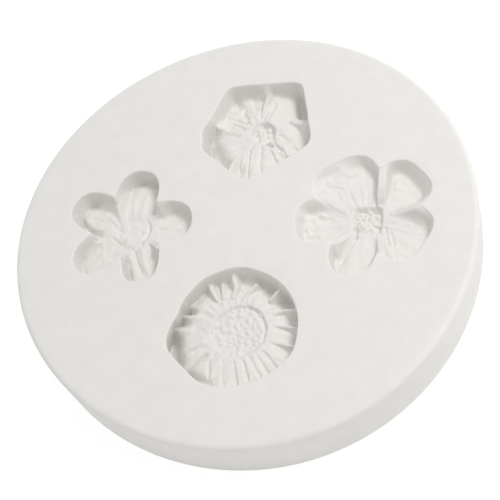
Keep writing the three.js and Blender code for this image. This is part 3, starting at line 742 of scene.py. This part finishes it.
def pocket_points(flower):
    """Rings of points from the rim of one pocket to its middle, and the middle point last."""
    ring_radius, ring_angle, inset, floor, edge, undercuts = flower
    angles = np.linspace(0, 2 * math.pi, POCKET_RAYS, endpoint=False)
    rims = rim_radii(angles, inset)
    wall_shares = np.linspace(1, WALL_SHARE, WALL_RINGS, endpoint=False)
    floor_shares = np.linspace(WALL_SHARE, 0, FLOOR_RINGS, endpoint=False)
    shares = np.concatenate([wall_shares, floor_shares])
    r = shares[:, None] * rims[None, :]
    x = np.append((r * np.cos(angles)).ravel(), 0)
    y = np.append((r * np.sin(angles)).ravel(), 0)
    depth, undercut = pocket_relief(x, y, inset, floor, edge, undercuts)
    depth[:POCKET_RAYS] = 0
    spread = 1 + undercut / np.maximum(np.hypot(x, y), UNDERCUT_CORE)
    place = math.radians(ring_angle)
    x = x * spread + ring_radius * math.cos(place)
    y = y * spread + ring_radius * math.sin(place)
    return np.column_stack([x, y, DISC_THICKNESS - depth])


def ring_faces(outer, inner, count):
    """Quads between two rings of points, which start at these indices."""
    ray = np.arange(count)
    following = (ray + 1) % count
    return np.column_stack([outer + ray, outer + following, inner + following, inner + ray]).tolist()


def fan_faces(ring, middle, count):
    ray = np.arange(count)
    following = (ray + 1) % count
    return np.column_stack([ring + ray, ring + following, np.full(count, middle)]).tolist()


def edge_stretch(angles):
    oval = OVAL_HEIGHT * np.cos(2 * (angles - math.radians(OVAL_ANGLE)))
    trilobe = TRILOBE_HEIGHT * np.cos(3 * (angles - math.radians(TRILOBE_ANGLE)))
    return 1 + (oval + trilobe) / DISC_RADIUS


def disc_profile():
    """Half section of the disc's edge, from the top face round the side to the base."""
    top_turn = np.linspace(math.pi / 2, 0, EDGE_STEPS + 1)
    base_turn = np.linspace(0, -math.pi / 2, EDGE_STEPS + 1)
    foot = DISC_RADIUS + SIDE_DRAFT
    top_r = DISC_RADIUS - TOP_EDGE_RADIUS * (1 - np.cos(top_turn))
    top_z = DISC_THICKNESS - TOP_EDGE_RADIUS * (1 - np.sin(top_turn))
    side = np.linspace(0, 1, SIDE_STEPS + 1)[1:-1]
    side_r = lerp(DISC_RADIUS, foot, side)
    side_z = lerp(DISC_THICKNESS - TOP_EDGE_RADIUS, BASE_EDGE_RADIUS, side)
    base_r = foot - BASE_EDGE_RADIUS * (1 - np.cos(base_turn))
    base_z = BASE_EDGE_RADIUS * (1 + np.sin(base_turn))
    return np.concatenate([top_r, side_r, base_r]), np.concatenate([top_z, side_z, base_z])


def is_within(points, loop):
    """Which points lie inside a closed loop, by counting the edges to one side of each."""
    inside = np.zeros(len(points), bool)
    px, py = points[:, 0], points[:, 1]
    for (x0, y0), (x1, y1) in zip(loop, np.roll(loop, -1, axis=0)):
        spans = (y0 > py) != (y1 > py)
        if spans.any():
            crossing = x0 + (py[spans] - y0) * (x1 - x0) / (y1 - y0)
            inside[spans] ^= px[spans] < crossing
    return inside


def is_on_top(points, outer, loops):
    """Which points lie between the disc's edge and the pockets."""
    clear = is_within(points, outer)
    for loop in loops:
        clear &= ~is_within(points, loop)
    return clear


def top_grid(outer, loops):
    """Points spread over the flat face, clear of the disc's edge and of the pockets."""
    reach = np.arange(-DISC_RADIUS, DISC_RADIUS, TOP_GRID)
    grid = np.stack(np.meshgrid(reach, reach), axis=-1).reshape(-1, 2)
    grid[:, 0] += TOP_GRID / 2 * (np.round(grid[:, 1] / TOP_GRID) % 2)
    borders = np.concatenate([outer, *loops])
    clear = is_on_top(grid, outer, loops)
    for start in range(0, len(borders), BORDER_BATCH):
        away = grid[:, None, :] - borders[None, start:start + BORDER_BATCH, :]
        clear &= np.hypot(away[..., 0], away[..., 1]).min(axis=1) > TOP_GRID_MARGIN
    return grid[clear]


def top_face(outer, loops):
    """Triangles of the flat face between the disc's edge and the pockets, and the points added to it."""
    grid = top_grid(outer, loops)
    edges = []
    start = 0
    for loop in [outer, *loops]:
        ids = start + np.arange(len(loop))
        edges += np.column_stack([ids, np.roll(ids, -1)]).tolist()
        start += len(loop)
    points = np.concatenate([outer, *loops, grid])
    found = delaunay_2d_cdt([Vector(point) for point in points], edges, [], 0, SMALLEST)
    made_from = [origin[0] for origin in found[3]]
    faces = np.array([[made_from[corner] for corner in face] for face in found[2]])
    middles = points[faces].mean(axis=1)
    return grid, faces[is_on_top(middles, outer, loops)]


def disc_shell():
    """Rings of points round the disc's edge and the middle of its base, and the faces between them."""
    angles = np.linspace(0, 2 * math.pi, DISC_SIDES, endpoint=False)
    profile_r, profile_z = disc_profile()
    spread = edge_stretch(angles)
    points = []
    for r, z in zip(profile_r, profile_z):
        ring = r * spread
        points.append(np.column_stack([ring * np.cos(angles), ring * np.sin(angles), np.full(DISC_SIDES, z)]))
    points.append(np.zeros((1, 3)))
    faces = []
    for step in range(len(profile_r) - 1):
        faces += ring_faces((step + 1) * DISC_SIDES, step * DISC_SIDES, DISC_SIDES)
    base_middle = len(profile_r) * DISC_SIDES
    base = fan_faces(base_middle - DISC_SIDES, base_middle, DISC_SIDES)
    faces += [face[::-1] for face in base]
    return np.concatenate(points), faces


def pocket_faces(start, count):
    """Faces of one pocket, whose points start at this index."""
    rings = count // POCKET_RAYS
    faces = []
    for ring in range(rings - 1):
        outer = start + ring * POCKET_RAYS
        faces += ring_faces(outer, outer + POCKET_RAYS, POCKET_RAYS)
    return faces + fan_faces(start + (rings - 1) * POCKET_RAYS, start + count - 1, POCKET_RAYS)


def mould_body():
    """The whole mould as one closed mesh."""
    points, faces = disc_shell()
    outer = points[:DISC_SIDES, :2]
    border_ids = [np.arange(DISC_SIDES)]
    loops = []
    for flower in FLOWERS:
        pocket = pocket_points(flower)
        start = len(points)
        faces += pocket_faces(start, len(pocket))
        border_ids.append(start + np.arange(POCKET_RAYS))
        loops.append(pocket[:POCKET_RAYS, :2])
        points = np.concatenate([points, pocket])
    grid, top = top_face(outer, loops)
    ids = np.concatenate([*border_ids, len(points) + np.arange(len(grid))])
    faces += ids[top].tolist()
    level = np.column_stack([grid, np.full(len(grid), DISC_THICKNESS)])
    mesh = bpy.data.meshes.new("mould_body_cast")
    mesh.from_pydata(np.concatenate([points, level]) * MM, [], faces)
    mesh.validate()
    mesh.shade_smooth()
    piece = bpy.data.objects.new("mould_body_cast", mesh)
    bpy.context.scene.collection.objects.link(piece)
    return piece


# Materials

def sum_node(tree, operation, *terms):
    """A sum in a node tree, whose terms are plain numbers or the outputs of other nodes."""
    node = tree.nodes.new("ShaderNodeMath")
    node.operation = operation
    for socket, term in zip(node.inputs, terms):
        if isinstance(term, bpy.types.NodeSocket):
            tree.links.new(term, socket)
        else:
            socket.default_value = term
    return node.outputs["Value"]


def silicone():
    """Matt off-white silicone with faint clouding and a very fine grain."""
    material = bpy.data.materials.new("silicone")
    material.use_nodes = True
    nodes = material.node_tree.nodes
    links = material.node_tree.links
    shader = nodes["Principled BSDF"]
    place = nodes.new("ShaderNodeTexCoord")
    cloud = nodes.new("ShaderNodeTexNoise")
    cloud.inputs["Scale"].default_value = CLOUD_SCALE
    cloud.inputs["Detail"].default_value = CLOUD_DETAIL
    tint = nodes.new("ShaderNodeValToRGB")
    dark, light = tint.color_ramp.elements
    dark.position = CLOUD_LOW
    dark.color = CLOUD_DARK
    light.position = CLOUD_HIGH
    light.color = CLOUD_LIGHT
    links.new(place.outputs["Object"], cloud.inputs["Vector"])
    links.new(cloud.outputs["Fac"], tint.inputs["Fac"])
    links.new(tint.outputs["Color"], shader.inputs["Base Color"])
    pores = nodes.new("ShaderNodeTexNoise")
    pores.inputs["Scale"].default_value = PORE_SCALE
    pores.inputs["Detail"].default_value = PORE_DETAIL
    relief = nodes.new("ShaderNodeBump")
    relief.inputs["Strength"].default_value = PORE_STRENGTH
    relief.inputs["Distance"].default_value = PORE_DEPTH * MM
    links.new(place.outputs["Object"], pores.inputs["Vector"])
    links.new(pores.outputs["Fac"], relief.inputs["Height"])
    links.new(relief.outputs["Normal"], shader.inputs["Normal"])
    shader.inputs["Roughness"].default_value = SILICONE_ROUGHNESS
    shader.inputs["Specular IOR Level"].default_value = SILICONE_SPECULAR
    return material


def white_table():
    """White to the camera with a faint shadow, and a pale matt surface to the light round the mould."""
    material = bpy.data.materials.new("white_table")
    material.use_nodes = True
    tree = material.node_tree
    nodes = tree.nodes
    links = tree.links
    nodes.clear()
    out = nodes.new("ShaderNodeOutputMaterial")
    path = nodes.new("ShaderNodeLightPath")
    pale = nodes.new("ShaderNodeBsdfDiffuse")
    pale.inputs["Color"].default_value = TABLE_PALE
    faint = nodes.new("ShaderNodeBsdfDiffuse")
    faint.inputs["Color"].default_value = TABLE_FAINT
    glow = nodes.new("ShaderNodeEmission")
    glow.inputs["Strength"].default_value = TABLE_GLOW
    seen = nodes.new("ShaderNodeAddShader")
    choose = nodes.new("ShaderNodeMixShader")
    links.new(faint.outputs["BSDF"], seen.inputs[0])
    links.new(glow.outputs["Emission"], seen.inputs[1])
    seen_by = path.outputs["Is Camera Ray"]
    for mirrored in ("Is Glossy Ray", "Is Transmission Ray"):
        seen_by = sum_node(tree, "MAXIMUM", seen_by, path.outputs[mirrored])
    links.new(seen_by, choose.inputs["Fac"])
    links.new(pale.outputs["BSDF"], choose.inputs[1])
    links.new(seen.outputs["Shader"], choose.inputs[2])
    links.new(choose.outputs["Shader"], out.inputs["Surface"])
    return material


# Table, light and camera

def table():
    half = TABLE_SIZE / 2 * MM
    mesh = bpy.data.meshes.new("table")
    corners = [(-half, -half, 0), (half, -half, 0), (half, half, 0), (-half, half, 0)]
    mesh.from_pydata(corners, [], [(0, 1, 2, 3)])
    mesh.materials.append(white_table())
    piece = bpy.data.objects.new("table", mesh)
    piece.location.z = TABLE_RISE * MM
    bpy.context.scene.collection.objects.link(piece)


def from_angles(azimuth, elevation):
    turn = math.radians(azimuth)
    rise = math.radians(elevation)
    return Vector((math.cos(rise) * math.cos(turn), math.cos(rise) * math.sin(turn), math.sin(rise)))


def soft_lamp(name, azimuth, elevation, distance, size, level):
    """A round lamp that puts this share of full white on a level face."""
    lamp = bpy.data.lights.new(name, "AREA")
    lamp.shape = "DISK"
    lamp.size = size * MM
    lamp.energy = level / math.sin(math.radians(elevation)) * (math.pi * distance * MM) ** 2
    away = from_angles(azimuth, elevation)
    holder = bpy.data.objects.new(name, lamp)
    holder.location = away * distance * MM
    holder.rotation_euler = away.to_track_quat("Z", "Y").to_euler()
    bpy.context.scene.collection.objects.link(holder)


def sky():
    """White sky that is brightest overhead, with a narrow glow along the horizon."""
    world = bpy.data.worlds.new("sky")
    world.use_nodes = True
    tree = world.node_tree
    background = tree.nodes["Background"]
    background.inputs["Color"].default_value = (1, 1, 1, 1)
    place = tree.nodes.new("ShaderNodeTexCoord")
    split = tree.nodes.new("ShaderNodeSeparateXYZ")
    tree.links.new(place.outputs["Generated"], split.inputs["Vector"])
    height = sum_node(tree, "ABSOLUTE", split.outputs["Z"])
    square = sum_node(tree, "MULTIPLY", height, height)
    level = sum_node(tree, "MULTIPLY_ADD", square, SKY_RISE, SKY_EDGE)
    lowness = sum_node(tree, "SUBTRACT", 1, height)
    fading = sum_node(tree, "POWER", lowness, GLOW_FALL)
    total = sum_node(tree, "MULTIPLY_ADD", fading, GLOW_LEVEL, level)
    tree.links.new(total, background.inputs["Strength"])
    bpy.context.scene.world = world


def camera():
    """Camera at the photograph's angle, turned about its own axis by the roll."""
    away = from_angles(CAMERA_AZIMUTH - 90, CAMERA_ELEVATION)
    level = Vector((math.cos(math.radians(CAMERA_AZIMUTH)), math.sin(math.radians(CAMERA_AZIMUTH)), 0))
    steep = away.cross(level)
    roll = math.radians(CAMERA_ROLL)
    right = math.cos(roll) * level - math.sin(roll) * steep
    up = math.sin(roll) * level + math.cos(roll) * steep
    aim = CAMERA_AIM_UP * up - CAMERA_AIM_LEFT * right
    position = CAMERA_DISTANCE * away
    back = (position - aim).normalized()
    right = up.cross(back).normalized()
    up = back.cross(right)
    data = bpy.data.cameras.new("camera")
    data.lens = CAMERA_LENS
    data.sensor_width = CAMERA_SENSOR
    data.clip_start = CAMERA_NEAR * MM
    holder = bpy.data.objects.new("camera", data)
    axes = Matrix((right, up, back)).transposed()
    holder.matrix_world = Matrix.Translation(position * MM) @ axes.to_4x4()
    bpy.context.scene.collection.objects.link(holder)
    bpy.context.scene.camera = holder


mould = mould_body()
mould.data.materials.append(silicone())
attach(mould, "root")
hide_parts("mould_body")
table()
soft_lamp("key", KEY_AZIMUTH, KEY_ELEVATION, KEY_DISTANCE, KEY_SIZE, KEY_LEVEL)
sky()
camera()
bpy.context.scene.view_settings.view_transform = "Standard"
